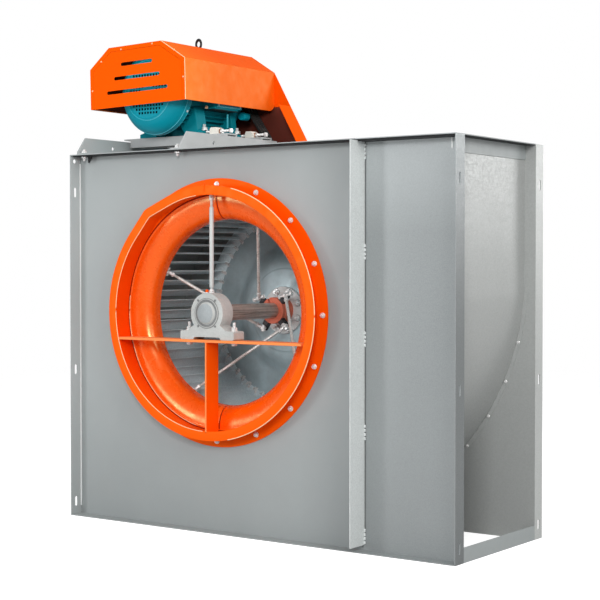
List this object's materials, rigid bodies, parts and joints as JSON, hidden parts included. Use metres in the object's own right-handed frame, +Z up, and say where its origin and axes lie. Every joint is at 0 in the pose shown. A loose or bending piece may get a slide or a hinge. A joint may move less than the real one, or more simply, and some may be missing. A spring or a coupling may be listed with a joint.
{
  "type": "belt-driven centrifugal fan",
  "caption": "Belt-driven single-inlet centrifugal fan: scroll casing with top outlet, orange inlet collar, forward-curved impeller, motor and belt guard on the roof.",
  "frame": {"origin": "on the ground, at the middle of the whole fan's box", "axes": "+Z up and out of the outlet, -Y out of the inlet, along the fan's shaft; +X towards the outlet end of the casing"},
  "size_m": [1.61, 0.69, 1.7425],
  "materials": {
    "painted_casing": "satin grey enamel over folded sheet steel",
    "galvanised_casing": "galvanised sheet with fine spangle",
    "orange_inlet": "glossy orange enamel",
    "orange_covers": "satin orange powder coat",
    "bearing_cast": "grey enamel over sand casting",
    "painted_supports": "light grey enamel",
    "grease_pipe": "dull zinc",
    "grease_nipple": "orange enamel",
    "shaft_steel": "turned steel with an oil film",
    "impeller_sheet": "galvanised sheet",
    "hub_primer": "matt red primer",
    "zinc_fittings": "bright zinc plate",
    "pulley_iron": "black phosphate",
    "belt_rubber": "matt black, frayed edges",
    "motor_teal": "teal enamel over cast iron"
  },
  "bodies": {
    "casing": {"front_side_plate": "painted_casing", "bottom_strip_left": "painted_casing", "bottom_strip_right": "painted_casing", "outlet_flange_left": "painted_casing", "outlet_flange_right": "painted_casing", "front_outlet_plate": "galvanised_casing", "back_side_plate": "galvanised_casing", "joint_flange": "galvanised_casing", "scroll_sheet": "galvanised_casing", "tongue_wall": "galvanised_casing", "inlet_plate_ring": "orange_inlet", "inlet_collar": "orange_inlet", "inlet_bell": "orange_inlet", "bearing_crossbar": "orange_inlet", "bearing_post": "orange_inlet", "motor_hood": "orange_covers", "belt_guard": "orange_covers", "front_bearing_housing": "bearing_cast", "front_bearing_cover": "bearing_cast", "rear_bearing_housing": "bearing_cast", "rear_bearing_plate": "painted_supports", "base_member_left": "painted_supports", "base_member_right": "painted_supports", "motor_rail_front": "painted_supports", "motor_rail_rear": "painted_supports", "grease_tube": "grease_pipe", "grease_fitting": "grease_nipple", "tension_block_1": "zinc_fittings", "tension_block_2": "zinc_fittings", "lifting_eye": "pulley_iron", "drive_belt_1": "belt_rubber", "drive_belt_2": "belt_rubber", "drive_belt_3": "belt_rubber"},
    "motor": {"motor_frame": "motor_teal", "motor_fan_cowl": "motor_teal", "motor_drive_end_shield": "motor_teal", "terminal_box": "motor_teal", "terminal_box_lid": "motor_teal", "cable_gland": "motor_teal"},
    "motor_rotor": {"motor_rotor_shaft": "shaft_steel", "motor_cooling_fan": "pulley_iron", "motor_pulley": "pulley_iron"},
    "fan_rotor": {"fan_shaft": "shaft_steel", "impeller_hub": "hub_primer", "impeller_back_plate": "impeller_sheet", "impeller_blade_cage": "impeller_sheet", "tie_rod_1": "zinc_fittings", "tie_rod_2": "zinc_fittings", "tie_rod_3": "zinc_fittings", "tie_rod_4": "zinc_fittings", "fan_pulley": "pulley_iron", "front_bearing_inner_ring": "shaft_steel", "rear_bearing_inner_ring": "shaft_steel"},
    "tension_screw_1": {"tension_screw_1": "zinc_fittings"},
    "tension_screw_2": {"tension_screw_2": "zinc_fittings"}
  },
  "joints": [
    {"name": "fan_spin", "type": "hinge", "parent": "casing", "child": "fan_rotor", "pos_m": [-0.145, 0, 0.742], "axis": [0, 1, 0], "continuous": true},
    {"name": "motor_slide", "type": "slide", "parent": "casing", "child": "motor", "axis": [-1, 0, 0], "range_m": [-0.006, 0.012], "deforming": ["drive_belt_1", "drive_belt_2", "drive_belt_3"]},
    {"name": "motor_spin", "type": "hinge", "parent": "motor", "child": "motor_rotor", "pos_m": [-0.56, 0, 1.533], "axis": [0, 1, 0], "continuous": true},
    {"name": "tension_screw_1_feed", "type": "slide", "parent": "casing", "child": "tension_screw_1", "axis": [-1, 0, 0], "range_m": [-0.006, 0.012]},
    {"name": "tension_screw_2_feed", "type": "slide", "parent": "casing", "child": "tension_screw_2", "axis": [-1, 0, 0], "range_m": [-0.006, 0.012]}
  ],
  "couplings": [
    {"joint": "motor_spin", "follows": "fan_spin", "ratio": 2.4375},
    {"joint": "tension_screw_1_feed", "follows": "motor_slide", "ratio": 1},
    {"joint": "tension_screw_2_feed", "follows": "motor_slide", "ratio": 1}
  ]
}
